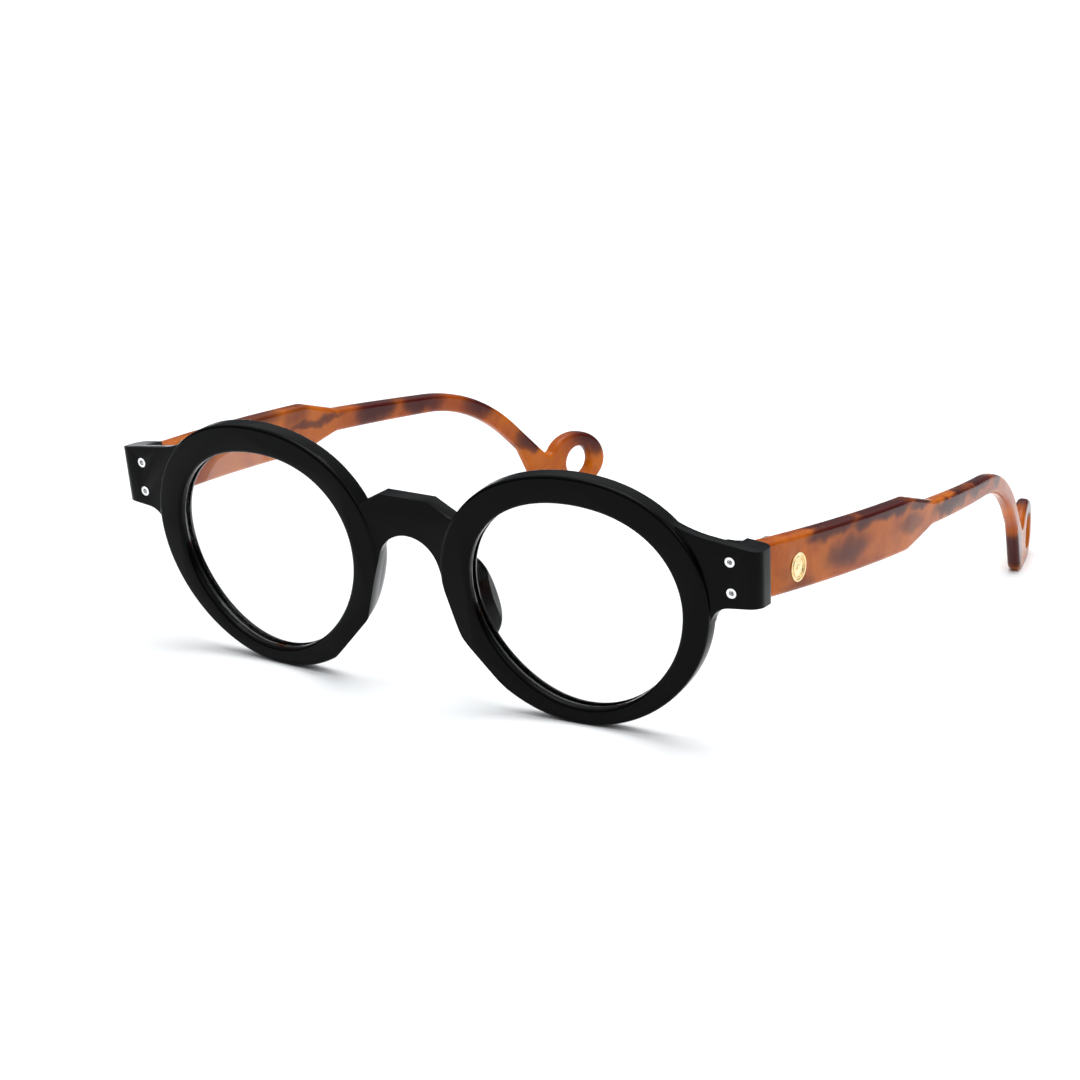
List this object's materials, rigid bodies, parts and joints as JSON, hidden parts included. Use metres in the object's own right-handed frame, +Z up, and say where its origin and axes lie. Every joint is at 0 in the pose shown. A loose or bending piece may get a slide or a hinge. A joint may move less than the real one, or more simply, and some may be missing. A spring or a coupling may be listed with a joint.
{
  "type": "eyeglasses",
  "caption": "Round acetate spectacles with a raised keyhole bridge, riveted side hinges and temples that end in open cord loops.",
  "frame": {"origin": "under the middle of the open spectacles, on the surface that they stand on", "axes": "+Z up, -Y the way the front faces, +X the wearer's left"},
  "size_m": [0.1442, 0.1592, 0.0487],
  "materials": {
    "front_acetate": "polished black acetate",
    "pad_acetate": "polished black acetate, glued on",
    "temple_acetate": "polished translucent amber acetate with dark red tortoise patches",
    "lens_glass": "clear, polished",
    "hinge_steel": "satin",
    "screw_steel": "polished",
    "rivet_metal": "polished, hollow face",
    "core_steel": "flat wire inside the acetate",
    "badge_metal": "gilt with a raised border"
  },
  "bodies": {
    "front": {"front_frame": "front_acetate", "lens_left": "lens_glass", "nose_pad_left": "pad_acetate", "front_hinge_leaf_left": "hinge_steel", "hinge_screw_left": "screw_steel", "front_rivet_upper_left": "rivet_metal", "front_rivet_lower_left": "rivet_metal", "lens_right": "lens_glass", "nose_pad_right": "pad_acetate", "front_hinge_leaf_right": "hinge_steel", "hinge_screw_right": "screw_steel", "front_rivet_upper_right": "rivet_metal", "front_rivet_lower_right": "rivet_metal"},
    "temple_left": {"temple_left": "temple_acetate", "core_wire_left": "core_steel", "badge_left": "badge_metal", "temple_hinge_leaf_left": "hinge_steel"},
    "temple_right": {"temple_right": "temple_acetate", "core_wire_right": "core_steel", "badge_right": "badge_metal", "temple_hinge_leaf_right": "hinge_steel"}
  },
  "joints": [
    {"name": "fold_left", "type": "hinge", "parent": "front", "child": "temple_left", "pos_m": [0.06316, -0.06554, 0.03423], "axis": [0, -0.1374, 0.9905], "range_deg": [0, 86]},
    {"name": "fold_right", "type": "hinge", "parent": "front", "child": "temple_right", "pos_m": [-0.06316, -0.06554, 0.03423], "axis": [0, 0.1374, -0.9905], "range_deg": [0, 80]}
  ]
}
